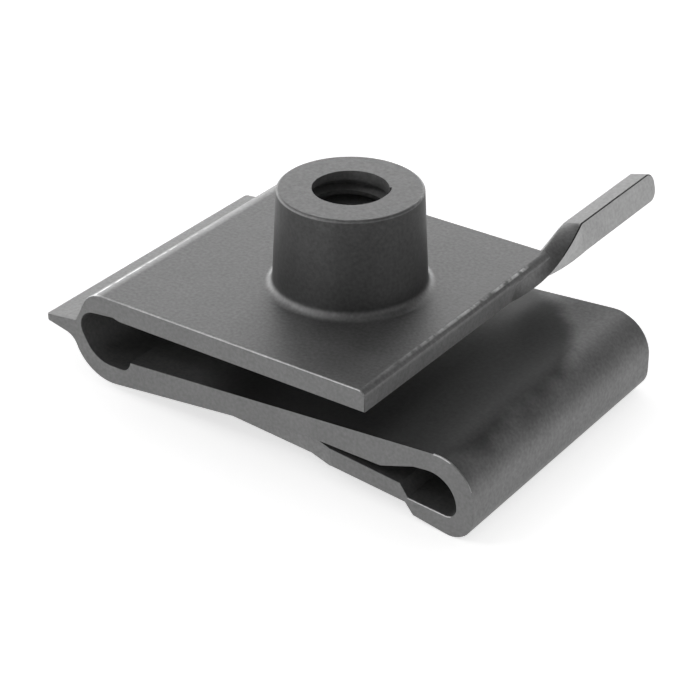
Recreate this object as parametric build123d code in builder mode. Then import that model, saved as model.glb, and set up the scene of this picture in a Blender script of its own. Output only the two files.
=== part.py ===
from build123d import *
import os
from math import acos, atan2, cos, degrees, hypot, pi, radians, sin, tan

# U-clip speed nut: one strip of spring steel folded into an S, with a drawn
# barrel for the thread on its top plate and a twisted arm at one corner.
# Millimetres and degrees. Z is the thread's axis, with the origin where it leaves
# the top plate's upper face. X runs along the strip, towards the panel's mouth.

# Strip
sheet = 1.5  # thickness of the flat parts
width = 21.9  # across the strip, along Y
noseX = 8.7  # thread axis to the free end of the top plate
noseRoll = 0.5  # rounded upper edge of that end, left by the blanking die
grip = 2.07  # panel gap under the top plate, at the thread axis
midRise = 4.2  # slope of the middle plate, which closes the gap at the mouth

# Left bend, from the top plate to the middle plate
leftBendX = 11.45  # thread axis to the centre of the outer radius
leftBendR = 3.2  # outer radius, below the lip
foldX = 11.85  # thread axis to the centre of the fold over the lip
foldR = 2.0
foldLean = 62.8  # steepness of the straight flank from that fold down to the lip
leftLandX = 9.85  # thread axis to the step where the middle plate starts
leftRoof = 1.36  # wall over the hollow
leftRamp = 0.5  # length of the ramp from the plate's underside to that wall
leftUpX = 12.7  # the hollow's upper radius
leftUpZ = 2.75
leftUpR = 1.2
leftLowX = 11.5  # the hollow's lower radius
leftLowZ = 2.85
leftLowR = 2.2

# Lip, folded out of the left bend over the full width
lipX = 17.08  # thread axis to its edge
lipZ = 2.6  # its upper face where it leaves the bend, below the top plate
lipFall = 7.0  # slope down to the edge
lipTip = 0.42  # thickness at the edge
lipRoot = 1.08  # thickness at the root
lipRootX = 15.3  # thread axis to the fillet under it
lipRootR = 1.2  # that fillet
lipHeel = 201.0  # where it meets the bend, as an angle about the bend's centre
lipCorner = 0.5  # rounded corners, seen from above

# Middle plate
land = 0.5  # extra thickness beside both relieved bends
waistX = 4.5  # where the middle plate is down to the sheet's thickness
rightLandX = 9.9  # thickest place beside the right bend

# Right bend, from the middle plate to the leg
rightBendX = 13.9  # thread axis to the centre of its upper radius
rightBendR = 2.7
heelX = 15.0  # the tighter radius under it
heelZ = 6.38
heelR = 1.6
hollowX = 13.4  # the hollow's upper radius
hollowZ = 5.92
hollowR = 2.0
hollowHeelR = 0.7  # its lower radius
roofRise = 6.3  # slope of the wall over the hollow
roofEndX = 12.3  # where that wall meets the ramp to the land
floorRise = 5.0  # slope of the hollow's floor
toeRise = 10.0  # slope of the underside below it

# Leg, folded back under the middle plate
legSheet = 1.25
legRise = 6.0  # slope from the right bend up to the middle plate
slit = 0.08  # gap between the two from the waist on
jogX = 11.35  # thread axis to the top of the joggle
jogRun = 0.6  # length of the joggle
jogLag = 0.375  # how far its bends on the underside stand further right
legEndX = 6.5  # thread axis to the leg's free end
legTaperX = 6.2  # where its sides start to draw in
legTaper = 12.0  # angle of each side
legCorner = 2.0

# Barrel and holes
boreR = 2.5  # minor radius of an M6 thread
barrelTopR = 4.8
barrelBaseR = 5.1
barrelH = 6.8
barrelEdge = 0.2  # rounded rim
flare = 0.57  # fillet where the barrel rises out of the plate
leadIn = 0.6  # rounded entry under the plate
screwR = 3.3  # clearance hole in the middle plate and the leg

# Arm, at one corner of the top plate
armWidth = 2.2
armTipWidth = 2.05
armTwist = 104.0
armEase = 1.3  # the twist starts gently and gathers pace
armRootY = 6.0  # where the twist starts, inside the plate
armTwistY = 15.1  # where the twist ends
armEndY = 25.2  # tip
armShift = 0.63  # sideways offset of the finished arm
armLift = 0.15  # its height over the middle of the sheet
armDip = 0.45  # sag of the twisted stretch
armRoll = 0.15  # the rolled upper edge, as it runs out along the arm
armTipFlat = 0.3  # flat left between the tip's two rounded corners
armSections = 9

halfWidth = width / 2


def slope(angle):
    return tan(radians(angle))


def rim(centre, radius, angle):
    return (centre[0] + radius * cos(radians(angle)), centre[1] + radius * sin(radians(angle)))


def midTop(x):
    return slope(midRise) * x - sheet - grip


def tangentFrom(point, centre, radius, side):
    # Angle about the centre at which a line from the point touches the circle
    away = (point[0] - centre[0], point[1] - centre[1])
    return degrees(atan2(away[1], away[0]) + side * acos(radius / hypot(*away)))


# Centres of the bends and of their hollows, as (x, z)
leftOuter = (-leftBendX, -leftBendR)
foldCentre = (-foldX, -foldR)
leftUp = (-leftUpX, -leftUpZ)
leftLow = (-leftLowX, -leftLowZ)
rightOuter = (rightBendX, midTop(rightBendX) - rightBendR / cos(radians(midRise)))
heelCentre = (heelX, -heelZ)
hollowCentre = (hollowX, -hollowZ)
hollowHeel = (hollowX + hollowR - hollowHeelR, -hollowZ)

# Underside of the middle plate: from the waist, a tangent to the left bend
waist = (waistX, midTop(waistX) - sheet)
underAngle = tangentFrom(waist, leftOuter, leftBendR, -1)
underTangent = rim(leftOuter, leftBendR, underAngle)

# Step between the left hollow and the middle plate
stepTop = (-leftLandX, midTop(-leftLandX))
stepR = stepTop[1] - leftLow[1] + leftLowR
stepStart = (stepTop[0] - stepR, stepTop[1] - stepR)
stepMid = rim((stepStart[0], stepTop[1]), stepR, -45)
rampX = -leftLandX - stepR

# Left hollow: its roof, an upper and a lower radius, and the tangent between them
roofPoint = (rampX - leftRamp, -leftRoof)
upStart = tangentFrom(roofPoint, leftUp, leftUpR, 1)
between = (leftUp[0] - leftLow[0], leftUp[1] - leftLow[1])
upEnd = degrees(atan2(between[1], between[0]) + acos((leftLowR - leftUpR) / hypot(*between))) % 360
upArc = [rim(leftUp, leftUpR, angle) for angle in (upStart, (upStart + upEnd) / 2, upEnd)]
lowArc = [rim(leftLow, leftLowR, angle) for angle in (upEnd, (upEnd + 270) / 2, 270)]

# Outside of the fold over the lip, the lip, and the bend under it
foldEnd = rim(foldCentre, foldR, 90 + foldLean)
notch = (foldEnd[0] - (lipZ + foldEnd[1]) / slope(foldLean), -lipZ)
lipTop = (-lipX + lipTip / 2, -lipZ - slope(lipFall) * (notch[0] + lipX - lipTip / 2))
lipEdge = (-lipX, lipTop[1] - lipTip / 2)
lipUnder = (lipTop[0], lipTop[1] - lipTip)
lipFoot = (-lipRootX, -lipZ - lipRoot)
heel = rim(leftOuter, leftBendR, lipHeel)

# Right bend, outside and inside
rightArc = [rim(rightOuter, rightBendR, angle) for angle in (90 + midRise, 45, 0)]
heelArc = [rim(heelCentre, heelR, angle) for angle in (0, -45, -90 - toeRise)]
hollowArc = [rim(hollowCentre, hollowR, angle) for angle in (0, 45, 90 + roofRise)]
hollowHeelArc = [rim(hollowHeel, hollowHeelR, angle) for angle in (-90 - floorRise, -45, 0)]
toe = heelArc[2]
floorEnd = hollowHeelArc[0]
roofStart = hollowArc[2]
roofEnd = (roofEndX, roofStart[1] - slope(roofRise) * (roofStart[0] - roofEndX))
landLow = (rightLandX, midTop(rightLandX) - sheet - land)

# Leg: its upper face, the joggle and its underside
touch = (waistX, waist[1] - slit)
legDrop = legSheet / cos(radians(legRise))
jogTop = (jogX, touch[1] - slope(legRise) * (jogX - waistX))
jogFoot = (jogX + jogRun, floorEnd[1] + slope(floorRise) * (floorEnd[0] - jogX - jogRun))
toeEnd = (jogFoot[0] + jogLag, toe[1] + slope(toeRise) * (toe[0] - jogFoot[0] - jogLag))
jogLow = (jogTop[0] + jogLag, jogTop[1] - legDrop)
legCut = touch[1] - slope(legRise) * (legTaperX - waistX)
legEndTop = touch[1] - slope(underAngle + 90) * (waistX + legEndX)
legEndHalf = halfWidth - slope(legTaper) * (legTaperX + legEndX)


# The folded strip, from the free end of the top plate to where the leg tapers
with BuildPart() as clip:
    with BuildSketch(Plane.XZ):
        with BuildLine():
            # Underside of the top plate, the left hollow and the step to the middle plate
            Polyline((noseX, -sheet), (rampX, -sheet), roofPoint, upArc[0])
            ThreePointArc(*upArc)
            Line(upArc[2], lowArc[0])
            ThreePointArc(*lowArc)
            Line(lowArc[2], stepStart)
            ThreePointArc(stepStart, stepMid, stepTop)
            # Middle plate and the outside of the right bend
            Line(stepTop, rightArc[0])
            ThreePointArc(*rightArc)
            Line(rightArc[2], heelArc[0])
            ThreePointArc(*heelArc)
            # Leg, underside first
            Polyline(toe, toeEnd, jogLow, (legTaperX, legCut - legDrop))
            Line((legTaperX, legCut - legDrop), (legTaperX, legCut))
            Polyline((legTaperX, legCut), jogTop, jogFoot, floorEnd)
            # Right hollow and the underside of the middle plate
            ThreePointArc(*hollowHeelArc)
            ThreePointArc(*hollowArc)
            Polyline(roofStart, roofEnd, landLow, waist, underTangent)
            # Outside of the left bend, with the lip
            RadiusArc(underTangent, heel, leftBendR)
            RadiusArc(heel, lipFoot, -lipRootR)
            Line(lipFoot, lipUnder)
            ThreePointArc(lipUnder, lipEdge, lipTop)
            Polyline(lipTop, notch, foldEnd)
            RadiusArc(foldEnd, (-foldX, 0), foldR)
            # Top plate and its free end
            Line((-foldX, 0), (noseX - noseRoll, 0))
            RadiusArc((noseX - noseRoll, 0), (noseX, -noseRoll), noseRoll)
            Line((noseX, -noseRoll), (noseX, -sheet))
        make_face()
    extrude(amount=halfWidth, both=True)

    # Rounded corners of the lip, seen from above
    with BuildSketch(Plane.XY.offset(-lipZ - 2 * lipRoot)):
        with Locations((-lipX, halfWidth), (-lipX, -halfWidth)):
            Rectangle(2 * lipCorner, 2 * lipCorner)
        lipInset = (lipCorner - lipX, halfWidth - lipCorner)
        with Locations(lipInset, (lipInset[0], -lipInset[1])):
            Circle(lipCorner, mode=Mode.SUBTRACT)
    extrude(amount=2 * lipRoot, mode=Mode.SUBTRACT)

    # Barrel, drawn up out of the plate, with a fillet at its foot
    with BuildSketch(Plane.XZ):
        with BuildLine():
            Polyline((0, barrelH), (0, -sheet / 2), (barrelBaseR + flare, -sheet / 2))
            Line((barrelBaseR + flare, -sheet / 2), (barrelBaseR + flare, 0))
            RadiusArc((barrelBaseR + flare, 0), (barrelBaseR, flare), flare)
            Line((barrelBaseR, flare), (barrelTopR, barrelH - barrelEdge))
            barrelFlat = barrelTopR - barrelEdge
            RadiusArc((barrelTopR, barrelH - barrelEdge), (barrelFlat, barrelH), -barrelEdge)
            Line((barrelFlat, barrelH), (0, barrelH))
        make_face()
    revolve(axis=Axis.Z)


# Tapered end of the leg, close under the middle plate
with BuildPart() as legEnd:
    with BuildSketch(Plane.XZ):
        Polygon(
            (legTaperX, legCut),
            touch,
            (-legEndX, legEndTop),
            (-legEndX, legEndTop - legDrop),
            (waistX, touch[1] - legDrop),
            (legTaperX, legCut - legDrop),
            align=None,
        )
    extrude(amount=halfWidth, both=True)
    with BuildSketch(Plane.XY.offset(legEndTop - 2 * sheet)):
        Polygon(
            (legTaperX, halfWidth),
            (-legEndX, legEndHalf),
            (-legEndX, -legEndHalf),
            (legTaperX, -halfWidth),
            align=None,
        )
        fillet(vertices().sort_by(Axis.X)[:2], legCorner)
    extrude(amount=4 * sheet, mode=Mode.INTERSECT)


# Arm: the twisted stretch, then a straight one with a round tip
def armPlane(share):
    turn = radians(armTwist * share**armEase)
    centre = (
        noseX - armWidth / 2 + armShift * share,
        armRootY + (armTwistY - armRootY) * share,
        -sheet / 2 + armLift * share - armDip * sin(pi * share),
    )
    return Plane(origin=centre, x_dir=(cos(turn), 0, sin(turn)), z_dir=(0, 1, 0))


def armSection(share):
    Rectangle(armWidth + (armTipWidth - armWidth) * share, sheet)
    upperCorner = vertices().group_by(Axis.Y)[0].sort_by(Axis.X)[-1]
    fillet(upperCorner, noseRoll + (armRoll - noseRoll) * share)


with BuildPart() as armTip:
    with BuildSketch(armPlane(1)):
        armSection(1)
    extrude(amount=armEndY - armTwistY)
    with BuildSketch(Plane(origin=armPlane(1).origin, x_dir=(0, 1, 0), z_dir=armPlane(1).y_dir)):
        with Locations(((armEndY - armTwistY) / 2, 0)):
            Rectangle(armEndY - armTwistY, armTipWidth)
        fillet(vertices().group_by(Axis.X)[-1], armTipWidth / 2 - armTipFlat / 2)
    extrude(amount=sheet, both=True, mode=Mode.INTERSECT)

with BuildPart() as arm:
    for step in range(armSections):
        share = step / (armSections - 1)
        with BuildSketch(armPlane(share)):
            armSection(share)
    loft()
    add(armTip.part)


with clip:
    add(legEnd.part)
    add(arm.part)
    # Bore for the thread, rounded where the screw enters it
    with BuildSketch(Plane.XZ):
        with BuildLine():
            Polyline((0, -sheet), (0, barrelH), (boreR, barrelH), (boreR, leadIn - sheet))
            RadiusArc((boreR, leadIn - sheet), (boreR + leadIn, -sheet), -leadIn)
            Line((boreR + leadIn, -sheet), (0, -sheet))
        make_face()
    revolve(axis=Axis.Z, mode=Mode.SUBTRACT)
    # Clearance hole for the screw in the middle plate and the leg
    with BuildSketch(Plane.XY.offset(-sheet - grip / 2)):
        Circle(screwR)
    extrude(amount=-3 * sheet, mode=Mode.SUBTRACT)

clip.part.label = "clip"
os.makedirs("parts", exist_ok=True)
export_step(clip.part, "parts/clip.step")
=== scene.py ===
import math

import bmesh
import bpy
import numpy as np
from mathutils import Matrix, Vector


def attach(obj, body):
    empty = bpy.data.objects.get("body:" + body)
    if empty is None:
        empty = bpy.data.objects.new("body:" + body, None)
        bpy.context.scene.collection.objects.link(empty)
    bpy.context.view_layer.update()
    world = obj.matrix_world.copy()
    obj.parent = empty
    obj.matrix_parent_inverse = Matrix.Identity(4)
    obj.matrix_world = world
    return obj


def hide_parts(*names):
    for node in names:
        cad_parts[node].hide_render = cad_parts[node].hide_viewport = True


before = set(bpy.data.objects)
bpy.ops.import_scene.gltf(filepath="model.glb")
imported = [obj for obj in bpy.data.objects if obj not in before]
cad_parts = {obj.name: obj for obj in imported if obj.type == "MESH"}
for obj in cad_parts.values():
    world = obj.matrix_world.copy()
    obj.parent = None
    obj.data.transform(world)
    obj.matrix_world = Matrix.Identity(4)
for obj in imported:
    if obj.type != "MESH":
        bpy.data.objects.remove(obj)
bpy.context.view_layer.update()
print("frame loaded")

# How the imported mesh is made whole, and where its shading breaks
meshing = {
    "join": 2e-7,           # points closer than this become one
    "flat": 0.4,            # faces that turn less than this many degrees become one
    "crease": 30,           # the shading breaks where faces turn more than this
}

# M6 coarse, right-handed: lengths in metres
thread = {
    "boreR": 0.0025,        # minor radius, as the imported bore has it
    "inside": 0.0004,       # how far the cutter stands into the open bore
    "rootR": 0.00304,       # bottom of the groove
    "pitch": 0.001,
    "mouthHalf": 0.00037,   # half the groove's width at the bore's wall
    "rootHalf": 0.00007,    # half its width at the bottom
    "startZ": -0.0022,      # under the plate, clear of the metal
    "endZ": 0.00652,        # just under the rim, so that the last turn breaks out there
    "endTurn": 0.1,         # where round the bore it ends, in turns from +X
    "stepsPerTurn": 64,
}

# Corners of the strip's two sides and of the arm beyond its root are rounded
edges = {
    "sharpAngle": 50,       # where they turn more than this many degrees
    "roundR": 0.00008,
    "segments": 2,
    "sideY": 0.01094,       # the strip's sides lie beyond this
    "armY": 0.0113,         # and the free length of the arm beyond this
    "rootX": 0.0055,        # no rounding on the far side beyond this, at the arm's root
}

# The phosphated faces, with the barrel's wall darker all round and a painted shadow of
# the top plate and barrel on the middle plate
rolledFace = {
    "tone": 0.20,           # the finish's reflectance
    "mottle": 0.20,         # how far it varies from place to place
    "grain": 0.34,          # the same, from crystal to crystal
    "metallic": 0.85,
    "roughness": 0.55,
    "bump": 0.000004,
    "drawn": 0.33,          # the barrel's wall, as a share of the tone
    "paintedShadow": 0.22,          # the painted shadow on the middle plate, the same
    "rubbedAndHighlit": 2.6,          # how much the painted highlight lines add
}
# The sheared edges, which take the finish lighter and duller
shearedFace = {
    "tone": 0.24,
    "mottle": 0.20,
    "grain": 0.30,
    "metallic": 0.3,
    "roughness": 0.65,
    "bump": 0.000008,
}
# The arm's underside, painted bright: a painted reflection of the bright floor behind it
paintedReflectionFace = {
    "tone": 0.38,
    "mottle": 0.25,
    "grain": 0.25,
    "metallic": 0.85,
    "roughness": 0.45,
    "bump": 0.000004,
}
# The upper corners, rubbed bright, with a painted highlight on them as well
rubbedAndHighlitEdge = {
    "tone": 0.42,
    "mottle": 0.5,
    "grain": 0.4,
    "metallic": 0.85,
    "roughness": 0.4,
    "bump": 0.000004,
}
# The twisted edge between the arm's two visible faces, painted dark as painted shade
darkEdge = {
    "tone": 0.03,
    "mottle": 0.2,
    "grain": 0.3,
    "metallic": 0.85,
    "roughness": 0.5,
    "bump": 0.000004,
}
# One material slot each, in this order
finishes = {
    "phosphatedSteel": rolledFace,
    "shearedSteel": shearedFace,
    "reflectionPaintedSteel": paintedReflectionFace,
    "rubbedHighlitSteel": rubbedAndHighlitEdge,
    "shadedEdgeSteel": darkEdge,
}
slots = {name: slot for slot, name in enumerate(finishes)}

# Noise scales and details of the finish
texture = {
    "mottleScale": 330,
    "mottleDetail": 3,
    "grainScale": 4200,
    "grainDetail": 2,
    "speckScale": 1500,     # what breaks up the painted highlight lines
    "roughSpread": 0.06,    # how far the roughness varies with the mottle
}
# The darker wall, between two radii and two heights, and how wide each limit fades
barrel = {
    "wall": 0.0054,
    "wallFade": 0.0003,
    "bore": 0.0031,
    "boreFade": 0.0002,
    "foot": 0.0001,
    "footFade": 0.0006,
    "rim": 0.0067,
    "rimFade": 0.0001,
}
# The painted shadow of the top plate and barrel on the middle plate: full up to "inner"
# from its middle, gone at "outer". Towards -Y it runs on straight to the strip's edge
shadowPatch = {
    "x": 0.002,
    "y": -0.001,
    "inner": 0.0125,
    "outer": 0.0141,
    "ragged": 0.0018,       # how far the noise moves its edge
    "top": -0.0018,         # heights that leave out the top plate and the lower faces
    "topFade": 0.0003,
    "low": -0.004,
    "lowFade": 0.0004,
}
# Painted highlight lines along the fold and along the rolled end of the top plate: each
# x, half its width, and where along Y it is full and where it has faded out
highlightLines = {
    "fold": (-0.0126, 0.0001, -0.0125, 0.006),
    "nose": (0.00838, 0.0001, 0.0078, -0.012),
}
# What the painted highlight lines share: each pair is where they are gone and where they are full
highlightLineShape = {
    "height": (-0.0006, -0.0004),
    "farSide": (0.0088, 0.008),
    "width": (1.5, 0.5),    # in halves of a line's width
    "specks": (0.3, 0.6),
}
arm = {
    "rootY": 0.006,         # where its twist starts and ends
    "endY": 0.0151,
    "twist": 104,
    "ease": 1.3,
    "lowZ": -0.0026,        # just under the lowest of it
    "backX": 0.0062,        # just behind it, seen from the plate's free end
    "frontX": 0.0096,       # just before it
}
plate = {
    "nose": 0.0087,         # its free end
    "edgeY": 0.01095,       # its far edge
    "under": -0.0015,       # its underside
}
# How markFaces tells the kinds of face apart: parts of a unit normal, then lengths
facing = {"square": 0.9, "arm": 0.75, "tip": 0.3, "edgeShadeFacing": 0.3, "up": 0.35}
slack = {"edge": 0.00005, "nose": 0.0001, "proud": 0.00002}
# Upper corners lie above "topZ", or on the right bend beyond "bendX"
corners = {"topZ": -0.0007, "bendX": 0.0125}


def newMesh(name, points, faces):
    mesh = bpy.data.meshes.new(name)
    mesh.from_pydata(points, [], faces)
    mesh.validate()
    mesh.update()
    return mesh


# A point on the groove's cutter is (r cos t, r sin t, z): t grows along the helix,
# and (r, z) runs round a closed profile that is wide inside the bore and narrow at
# the groove's bottom, raised by one pitch for each turn of t
def grooveMesh(name, shape):
    turns = (shape["endZ"] - shape["startZ"]) / shape["pitch"]
    steps = int(turns * shape["stepsPerTurn"])
    t = np.linspace(-turns, 0, steps + 1)
    lean = (shape["mouthHalf"] - shape["rootHalf"]) / (shape["rootR"] - shape["boreR"])
    innerR = shape["boreR"] - shape["inside"]
    innerHalf = shape["mouthHalf"] + lean * (shape["boreR"] - innerR)
    r = np.array([innerR, shape["rootR"], shape["rootR"], innerR])
    z = np.array([-innerHalf, -shape["rootHalf"], shape["rootHalf"], innerHalf])
    angle = 2 * np.pi * (t + shape["endTurn"])
    points = np.stack([
        r[None, :] * np.cos(angle)[:, None],
        r[None, :] * np.sin(angle)[:, None],
        shape["endZ"] + z[None, :] + shape["pitch"] * t[:, None],
    ], axis=-1)
    count = len(r)
    i, j = np.meshgrid(np.arange(steps), np.arange(count), indexing="ij")
    k = (j + 1) % count
    sides = np.stack([i * count + j, (i + 1) * count + j, (i + 1) * count + k, i * count + k], axis=-1)
    first = list(range(count))
    last = [steps * count + c for c in reversed(first)]
    return newMesh(name, points.reshape(-1, 3).tolist(), sides.reshape(-1, 4).tolist() + [first, last])


def cleanSolid(node, name):
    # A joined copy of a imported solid, with its flat faces whole again
    shape = bmesh.new()
    shape.from_mesh(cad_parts[node].data)
    bmesh.ops.remove_doubles(shape, verts=shape.verts, dist=meshing["join"])
    bmesh.ops.dissolve_limit(
        shape, angle_limit=math.radians(meshing["flat"]), use_dissolve_boundaries=False,
        verts=shape.verts, edges=shape.edges, delimit={"NORMAL"})
    print(name, "open edges", sum(1 for e in shape.edges if not e.is_manifold))
    mesh = bpy.data.meshes.new(name)
    shape.to_mesh(mesh)
    shape.free()
    return mesh


def chooseEdges(mesh):
    # Weights the corners to round: the strip's two sides and the arm's free length. The
    # barrel's rim is rounded already, and the arm's root has faces too narrow for it
    shape = bmesh.new()
    shape.from_mesh(mesh)
    weight = shape.edges.layers.float.new("bevel_weight_edge")
    for edge in shape.edges:
        ends = [vertex.co for vertex in edge.verts]
        near = all(end.y < -edges["sideY"] for end in ends)
        far = all(end.y > edges["sideY"] for end in ends)
        atRoot = any(end.x > edges["rootX"] and end.z > arm["lowZ"] for end in ends)
        free = all(end.y > edges["armY"] for end in ends)
        sharp = edge.calc_face_angle(0) > math.radians(edges["sharpAngle"])
        if sharp and (near or free or (far and not atRoot)):
            edge[weight] = 1
    shape.to_mesh(mesh)
    shape.free()


def place(name, mesh):
    piece = bpy.data.objects.new(name, mesh)
    bpy.context.scene.collection.objects.link(piece)
    return piece


def apply(piece):
    # Bakes a piece's modifiers into its mesh
    graph = bpy.context.evaluated_depsgraph_get()
    mesh = bpy.data.meshes.new_from_object(piece.evaluated_get(graph))
    piece.modifiers.clear()
    piece.data = mesh
    return mesh


def smoothByAngle(mesh, degreesLimit):
    shape = bmesh.new()
    shape.from_mesh(mesh)
    for face in shape.faces:
        face.smooth = True
    for edge in shape.edges:
        edge.smooth = len(edge.link_faces) == 2 and edge.calc_face_angle(0) < math.radians(degreesLimit)
    shape.to_mesh(mesh)
    shape.free()


def nodeMaker(material):
    tree = material.node_tree
    tree.nodes.clear()

    def make(kind, **settings):
        node = tree.nodes.new(kind)
        for key, value in settings.items():
            setattr(node, key, value)
        return node

    return tree, make


def toneMaskMaker(make, link, place):
    # Masks on the clip's own coordinates: two dim a tone by a share (the barrel's darker wall and a
    # painted shadow), one adds painted highlights
    parts = make("ShaderNodeSeparateXYZ")
    link(place.outputs["Object"], parts.inputs[0])

    def ramp(value, start, end):
        node = make("ShaderNodeMapRange", interpolation_type="SMOOTHSTEP")
        node.inputs["From Min"].default_value = start
        node.inputs["From Max"].default_value = end
        link(value, node.inputs["Value"])
        return node.outputs[0]

    def maths(operation, *values):
        node = make("ShaderNodeMath", operation=operation)
        for value, socket in zip(values, node.inputs):
            if isinstance(value, (int, float)):
                socket.default_value = value
            else:
                link(value, socket)
        return node.outputs[0]

    def reach(a, b):
        return maths("SQRT", maths("ADD", maths("MULTIPLY", a, a), maths("MULTIPLY", b, b)))

    def dim(tone, mask, share):
        return maths("MULTIPLY", tone, maths("SUBTRACT", 1, maths("MULTIPLY", mask, 1 - share)))

    # Darkens the barrel's wall all round by a share of the tone
    def drawn(tone, share):
        radius = reach(parts.outputs["X"], parts.outputs["Y"])
        height = parts.outputs["Z"]
        wall = maths("MULTIPLY", ramp(radius, barrel["wall"] + barrel["wallFade"], barrel["wall"]),
                     ramp(radius, barrel["bore"], barrel["bore"] + barrel["boreFade"]))
        tall = maths("MULTIPLY", ramp(height, barrel["foot"], barrel["foot"] + barrel["footFade"]),
                     ramp(height, barrel["rim"], barrel["rim"] - barrel["rimFade"]))
        return dim(tone, maths("MULTIPLY", wall, tall), share)

    # Painted shadow: darkens the middle plate under the top plate's free end and the barrel
    def paintedShadow(tone, share, noise):
        ahead = maths("SUBTRACT", parts.outputs["X"], shadowPatch["x"])
        aside = maths("MAXIMUM", maths("SUBTRACT", parts.outputs["Y"], shadowPatch["y"]), 0)
        shift = maths("MULTIPLY", maths("SUBTRACT", noise, 0.5), shadowPatch["ragged"])
        away = maths("ADD", reach(ahead, aside), shift)
        height = parts.outputs["Z"]
        level = maths("MULTIPLY", ramp(height, shadowPatch["top"], shadowPatch["top"] - shadowPatch["topFade"]),
                      ramp(height, shadowPatch["low"], shadowPatch["low"] + shadowPatch["lowFade"]))
        return dim(tone, maths("MULTIPLY", ramp(away, shadowPatch["outer"], shadowPatch["inner"]), level), share)

    # Painted highlights: brighter lines along the fold and along the plate's rolled end
    def rubbedAndHighlit(tone, gain, noise):
        level = ramp(parts.outputs["Z"], *highlightLineShape["height"])
        near = ramp(parts.outputs["Y"], *highlightLineShape["farSide"])
        gone, full = highlightLineShape["width"]
        marks = 0
        for line, half, start, end in highlightLines.values():
            off = maths("ABSOLUTE", maths("SUBTRACT", parts.outputs["X"], line))
            along = maths("MULTIPLY", ramp(parts.outputs["Y"], end, start), near)
            marks = maths("ADD", marks, maths("MULTIPLY", ramp(off, half * gone, half * full), along))
        marks = maths("MULTIPLY", maths("MULTIPLY", marks, level), ramp(noise, *highlightLineShape["specks"]))
        return maths("MULTIPLY", tone, maths("MULTIPLY_ADD", marks, gain, 1))

    return drawn, paintedShadow, rubbedAndHighlit


def phosphate(name, finish):
    material = bpy.data.materials.new(name)
    material.use_nodes = True
    tree, make = nodeMaker(material)
    link = tree.links.new
    place = make("ShaderNodeTexCoord")
    # Large soft blotches where the bath took more or less
    mottle = make("ShaderNodeTexNoise")
    mottle.inputs["Scale"].default_value = texture["mottleScale"]
    mottle.inputs["Detail"].default_value = texture["mottleDetail"]
    # Fine crystals
    grain = make("ShaderNodeTexNoise")
    grain.inputs["Scale"].default_value = texture["grainScale"]
    grain.inputs["Detail"].default_value = texture["grainDetail"]
    link(place.outputs["Object"], mottle.inputs["Vector"])
    link(place.outputs["Object"], grain.inputs["Vector"])
    both = make("ShaderNodeMath", operation="MULTIPLY_ADD")
    both.inputs[1].default_value = finish["mottle"] * 2
    link(mottle.outputs["Fac"], both.inputs[0])
    fine = make("ShaderNodeMath", operation="MULTIPLY_ADD")
    fine.inputs[1].default_value = finish["grain"] * 2
    fine.inputs[2].default_value = 1 - finish["mottle"] - finish["grain"]
    link(grain.outputs["Fac"], fine.inputs[0])
    link(fine.outputs[0], both.inputs[2])
    tone = make("ShaderNodeMath", operation="MULTIPLY")
    tone.inputs[1].default_value = finish["tone"]
    link(both.outputs[0], tone.inputs[0])
    toneAndPaintedLight = tone.outputs[0]
    # The barrel's darker wall, a painted shadow on the middle plate, and painted highlight lines
    if "drawn" in finish:
        drawn, paintedShadow, rubbedAndHighlit = toneMaskMaker(make, link, place)
        toneAndPaintedLight = drawn(toneAndPaintedLight, finish["drawn"])
        toneAndPaintedLight = paintedShadow(toneAndPaintedLight, finish["paintedShadow"], mottle.outputs["Fac"])
        specks = make("ShaderNodeTexNoise")
        specks.inputs["Scale"].default_value = texture["speckScale"]
        link(place.outputs["Object"], specks.inputs["Vector"])
        toneAndPaintedLight = rubbedAndHighlit(toneAndPaintedLight, finish["rubbedAndHighlit"], specks.outputs["Fac"])
    colour = make("ShaderNodeCombineColor")
    for channel in ("Red", "Green", "Blue"):
        link(toneAndPaintedLight, colour.inputs[channel])
    rough = make("ShaderNodeMapRange")
    rough.inputs["To Min"].default_value = finish["roughness"] - texture["roughSpread"]
    rough.inputs["To Max"].default_value = finish["roughness"] + texture["roughSpread"]
    link(mottle.outputs["Fac"], rough.inputs["Value"])
    bump = make("ShaderNodeBump")
    bump.inputs["Strength"].default_value = 1
    bump.inputs["Distance"].default_value = finish["bump"]
    link(grain.outputs["Fac"], bump.inputs["Height"])
    shader = make("ShaderNodeBsdfPrincipled")
    shader.inputs["Metallic"].default_value = finish["metallic"]
    link(colour.outputs[0], shader.inputs["Base Color"])
    link(rough.outputs[0], shader.inputs["Roughness"])
    link(bump.outputs[0], shader.inputs["Normal"])
    end = make("ShaderNodeOutputMaterial")
    link(shader.outputs[0], end.inputs["Surface"])
    return material


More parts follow.
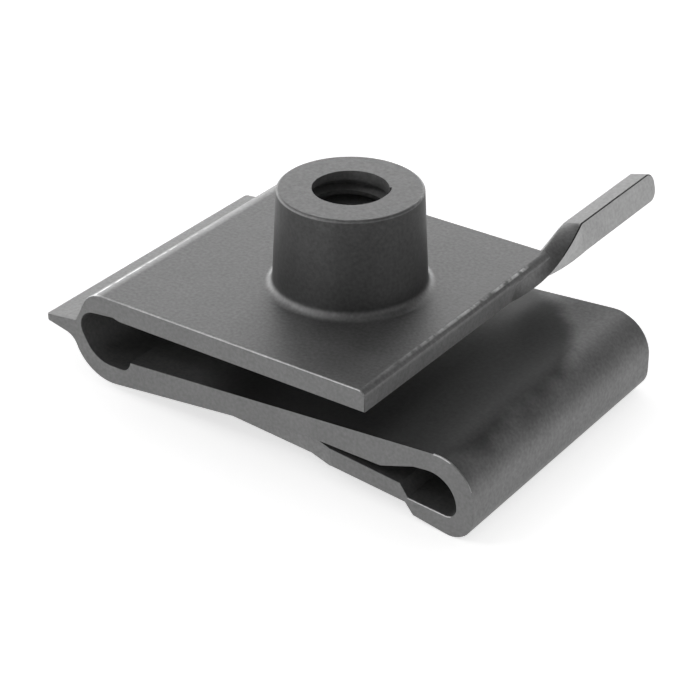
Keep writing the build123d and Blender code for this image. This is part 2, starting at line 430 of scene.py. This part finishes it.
def markFaces(mesh):
    # Sheared: both sides of the strip, its free end and the arm's edges. The arm's
    # underside, followed round its twist, gets a painted reflection. The rounding comes in on every
    # corner; on the upper corners it is worn bright and gets a painted highlight. The arm's rounded
    # outer edge gets painted shade
    count = len(mesh.polygons)
    normal = np.empty(count * 3)
    centre = np.empty(count * 3)
    slot = np.empty(count, dtype=np.int32)
    mesh.polygons.foreach_get("normal", normal)
    mesh.polygons.foreach_get("center", centre)
    mesh.polygons.foreach_get("material_index", slot)
    normal = normal.reshape(-1, 3)
    x, y, z = centre.reshape(-1, 3).T
    share = np.clip((y - arm["rootY"]) / (arm["endY"] - arm["rootY"]), 0, 1)
    turn = np.radians(arm["twist"]) * share ** arm["ease"]
    acrossArm = normal[:, 0] * np.cos(turn) + normal[:, 2] * np.sin(turn)
    underArm = normal[:, 0] * np.sin(turn) - normal[:, 2] * np.cos(turn)

    below = (z < plate["under"] - slack["proud"]) & (x > arm["backX"])
    proud = (x > plate["nose"] + slack["proud"]) | below
    past = y > plate["edgeY"] + slack["edge"]
    onArm = (z > arm["lowZ"]) & (y > arm["rootY"]) & (past | (proud & (x < arm["frontX"])))
    onSide = np.abs(y) > plate["edgeY"] - slack["edge"]
    side = ~onArm & (np.abs(normal[:, 1]) > facing["square"]) & onSide
    onNose = (np.abs(x - plate["nose"]) < slack["nose"]) & (z > plate["under"])
    nose = ~onArm & (normal[:, 0] > facing["square"]) & onNose
    armEdge = onArm & ((acrossArm < -facing["arm"]) | (normal[:, 1] > facing["tip"]))
    armUnder = onArm & (underArm > facing["arm"])

    rounded = slot == slots["rubbedHighlitSteel"]
    # The arm's rounded outer edge: painted shade
    shadedEdgeFaces = onArm & rounded & (acrossArm > facing["edgeShadeFacing"]) & (underArm > facing["edgeShadeFacing"])
    high = (z > corners["topZ"]) | (x > corners["bendX"])
    upper = (normal[:, 2] > facing["up"]) & high & ~onArm
    # The upper corners' rounding: worn bright, with a painted highlight
    rubbedAndHighlit = rounded & upper

    slot[:] = slots["phosphatedSteel"]
    slot[side | nose | armEdge] = slots["shearedSteel"]
    slot[armUnder] = slots["reflectionPaintedSteel"]
    slot[shadedEdgeFaces] = slots["shadedEdgeSteel"]
    slot[rubbedAndHighlit] = slots["rubbedHighlitSteel"]
    mesh.polygons.foreach_set("material_index", slot)
    mesh.update()
    print("faces by finish", np.bincount(slot, minlength=len(finishes)).tolist())


clip = place("clipSteel", cleanSolid("clip", "clipSteel"))
for name, finish in finishes.items():
    clip.data.materials.append(phosphate(name, finish))
chooseEdges(clip.data)
rounding = clip.modifiers.new("rounding", "BEVEL")
rounding.limit_method = "WEIGHT"
rounding.width = edges["roundR"]
rounding.segments = edges["segments"]
rounding.use_clamp_overlap = False
rounding.material = slots["rubbedHighlitSteel"]  # for markFaces to find
apply(clip)
cutter = place("cutter", grooveMesh("cutter", thread))
tapping = clip.modifiers.new("tapping", "BOOLEAN")
tapping.operation = "DIFFERENCE"
tapping.solver = "EXACT"
tapping.object = cutter
apply(clip)
bpy.data.objects.remove(cutter)
smoothByAngle(clip.data, meshing["crease"])
evenNormals = clip.modifiers.new("evenNormals", "WEIGHTED_NORMAL")
evenNormals.keep_sharp = True
apply(clip)
print("clip faces", len(clip.data.polygons))
markFaces(clip.data)
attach(clip, "root")
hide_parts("clip")
print("clip finished")

# The floor touches the two places on which the clip rests, so it leans a little
floorPlan = {
    "toe": (0.01494, -0.00798),     # under the right bend, as x and z
    "legEnd": (-0.0065, -0.00723),  # under the free end of the leg
    "half": 0.6,
    "tone": 0.80,
    "glow": 0.62,                   # what it adds to camera and mirror rays
}


def studioFloor(plan):
    slope = (plan["legEnd"][1] - plan["toe"][1]) / (plan["legEnd"][0] - plan["toe"][0])
    x = np.array([-1, 1, 1, -1]) * plan["half"]
    y = np.array([-1, -1, 1, 1]) * plan["half"]
    z = plan["toe"][1] + slope * (x - plan["toe"][0])
    floor = place("floor", newMesh("floor", np.stack([x, y, z], axis=-1).tolist(), [[0, 1, 2, 3]]))
    material = bpy.data.materials.new("paper")
    material.use_nodes = True
    tree, make = nodeMaker(material)
    link = tree.links.new
    diffuse = make("ShaderNodeBsdfDiffuse")
    diffuse.inputs["Color"].default_value = (plan["tone"],) * 3 + (1,)
    glow = make("ShaderNodeEmission")
    glow.inputs["Strength"].default_value = plan["glow"]
    path = make("ShaderNodeLightPath")
    direct = make("ShaderNodeMath", operation="MAXIMUM")
    seen = make("ShaderNodeMath", operation="MAXIMUM")
    link(path.outputs["Is Camera Ray"], direct.inputs[0])
    link(path.outputs["Is Glossy Ray"], direct.inputs[1])
    link(direct.outputs[0], seen.inputs[0])
    link(path.outputs["Is Transmission Ray"], seen.inputs[1])
    off = make("ShaderNodeEmission")
    off.inputs["Strength"].default_value = 0
    choice = make("ShaderNodeMixShader")
    link(seen.outputs[0], choice.inputs[0])
    link(off.outputs[0], choice.inputs[1])
    link(glow.outputs[0], choice.inputs[2])
    total = make("ShaderNodeAddShader")
    link(diffuse.outputs[0], total.inputs[0])
    link(choice.outputs[0], total.inputs[1])
    end = make("ShaderNodeOutputMaterial")
    link(total.outputs[0], end.inputs["Surface"])
    floor.data.materials.append(material)


studioFloor(floorPlan)

# A white room. Metal sees it bright near the horizon and dim overhead and on the right
room = {
    "seen": 1.0,            # by the camera
    "light": 0.5,           # on rough faces
    "horizon": 2.9,         # in metal
    "overhead": 0.3,
    "bandFoot": 0.2,        # the bright band's height, as the sine of its elevation
    "bandTop": 0.5,
    "rightShare": 0.12,     # of the band's strength, on the right
    "rightX": 0.6,          # full dimming and none, as the direction's x
    "leftX": -0.2,
}
lamps = {
    # name: (place, width, height, watts)
    "leftLamp": ((-0.42, 0.28, 0.085), 0.5, 0.16, 0.7),
    "backLamp": ((-0.12, 0.48, 0.09), 0.25, 0.14, 0.28),
    "edgeLamp": ((-0.25, -0.25, 0.355), 0.12, 0.12, 0.22),
    "crestLamp": ((-0.09, 0.355, 0.34), 0.08, 0.08, 0.05),
    "keyLamp": ((-0.35, 0.25, 0.55), 0.35, 0.35, 0.08),
    "rightLamp": ((0.5, -0.05, 0.06), 0.3, 0.1, 0.13),
}


def studioLight():
    world = bpy.data.worlds.new("room")
    bpy.context.scene.world = world
    world.use_nodes = True
    tree, make = nodeMaker(world)
    link = tree.links.new

    def mapped(value, start, end, low, high, kind="SMOOTHSTEP"):
        node = make("ShaderNodeMapRange", interpolation_type=kind)
        node.inputs["From Min"].default_value = start
        node.inputs["From Max"].default_value = end
        node.inputs["To Min"].default_value = low
        node.inputs["To Max"].default_value = high
        link(value, node.inputs["Value"])
        return node

    toward = make("ShaderNodeTexCoord")
    parts = make("ShaderNodeSeparateXYZ")
    link(toward.outputs["Generated"], parts.inputs[0])
    band = mapped(
        parts.outputs["Z"], room["bandTop"], room["bandFoot"], room["overhead"], room["horizon"])
    around = mapped(parts.outputs["X"], room["rightX"], room["leftX"], room["rightShare"], 1)
    mirrored = make("ShaderNodeMath", operation="MULTIPLY")
    link(band.outputs[0], mirrored.inputs[0])
    link(around.outputs[0], mirrored.inputs[1])
    path = make("ShaderNodeLightPath")
    lit = mapped(path.outputs["Is Glossy Ray"], 0, 1, room["light"], 0, "LINEAR")
    link(mirrored.outputs[0], lit.inputs["To Max"])
    strength = mapped(path.outputs["Is Camera Ray"], 0, 1, 0, room["seen"], "LINEAR")
    link(lit.outputs[0], strength.inputs["To Min"])
    glow = make("ShaderNodeBackground")
    glow.inputs["Color"].default_value = (1, 1, 1, 1)
    link(strength.outputs[0], glow.inputs["Strength"])
    end = make("ShaderNodeOutputWorld")
    link(glow.outputs[0], end.inputs["Surface"])
    for name, (where, wide, high, watts) in lamps.items():
        lamp = bpy.data.lights.new(name, "AREA")
        lamp.shape = "RECTANGLE"
        lamp.size = wide
        lamp.size_y = high
        lamp.energy = watts
        holder = bpy.data.objects.new(name, lamp)
        holder.location = where
        holder.rotation_mode = "QUATERNION"
        holder.rotation_quaternion = (-Vector(where)).to_track_quat("-Z", "Y")
        bpy.context.scene.collection.objects.link(holder)


studioLight()
print("floor and lamps")

camera = {
    "target": (0.00129, -0.00185, -0.00389),
    "azimuth": 34.91,       # round from the front, in degrees
    "elevation": 30.15,
    "roll": 0.19,
    "distance": 0.1464,
    "lens": 115.1,          # in millimetres, as is the sensor
    "sensor": 36,
    "nearest": 0.005,
    "farthest": 5,
}


def aimCamera(plan):
    a, e, roll = (math.radians(plan[key]) for key in ("azimuth", "elevation", "roll"))
    back = Vector((math.sin(a) * math.cos(e), -math.cos(a) * math.cos(e), math.sin(e)))
    data = bpy.data.cameras.new("camera")
    data.lens = plan["lens"]
    data.sensor_width = plan["sensor"]
    data.clip_start = plan["nearest"]
    data.clip_end = plan["farthest"]
    holder = bpy.data.objects.new("camera", data)
    holder.location = Vector(plan["target"]) + back * plan["distance"]
    holder.rotation_mode = "QUATERNION"
    turn = Matrix.Rotation(roll, 3, back)
    holder.rotation_quaternion = turn.to_quaternion() @ (-back).to_track_quat("-Z", "Y")
    bpy.context.scene.collection.objects.link(holder)
    bpy.context.scene.camera = holder


aimCamera(camera)
bpy.context.scene.view_settings.view_transform = "Standard"

print("camera set")
